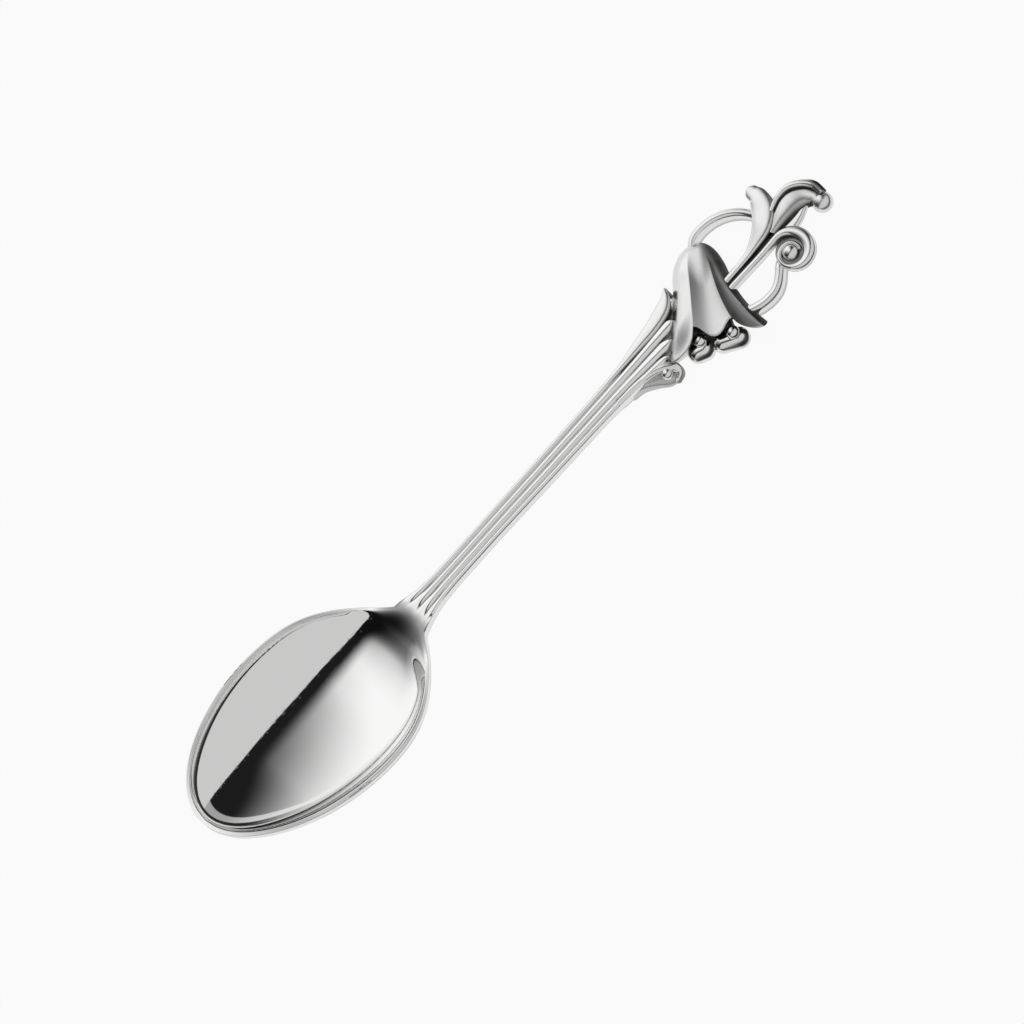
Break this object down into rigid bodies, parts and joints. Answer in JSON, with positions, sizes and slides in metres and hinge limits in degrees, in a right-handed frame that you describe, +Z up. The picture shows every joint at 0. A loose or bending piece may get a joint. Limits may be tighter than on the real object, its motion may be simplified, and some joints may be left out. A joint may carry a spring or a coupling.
{
  "type": "coffee spoon",
  "caption": "Silver coffee spoon with an oval bowl, a reeded handle and an open finial of bell flower, berries, ring and curling leaves.",
  "frame": {"origin": "on the table under the middle of the spoon's length and width, with the spoon lying on its back", "axes": "+X along the spoon from the bowl's tip to the finial, +Y to the left, +Z up out of the bowl"},
  "size_m": [0.12, 0.0258, 0.0111],
  "materials": {
    "silver": "polished silver, satin on the bell flower"
  },
  "bodies": {
    "root": {"coffee_spoon": "silver"}
  },
  "joints": []
}
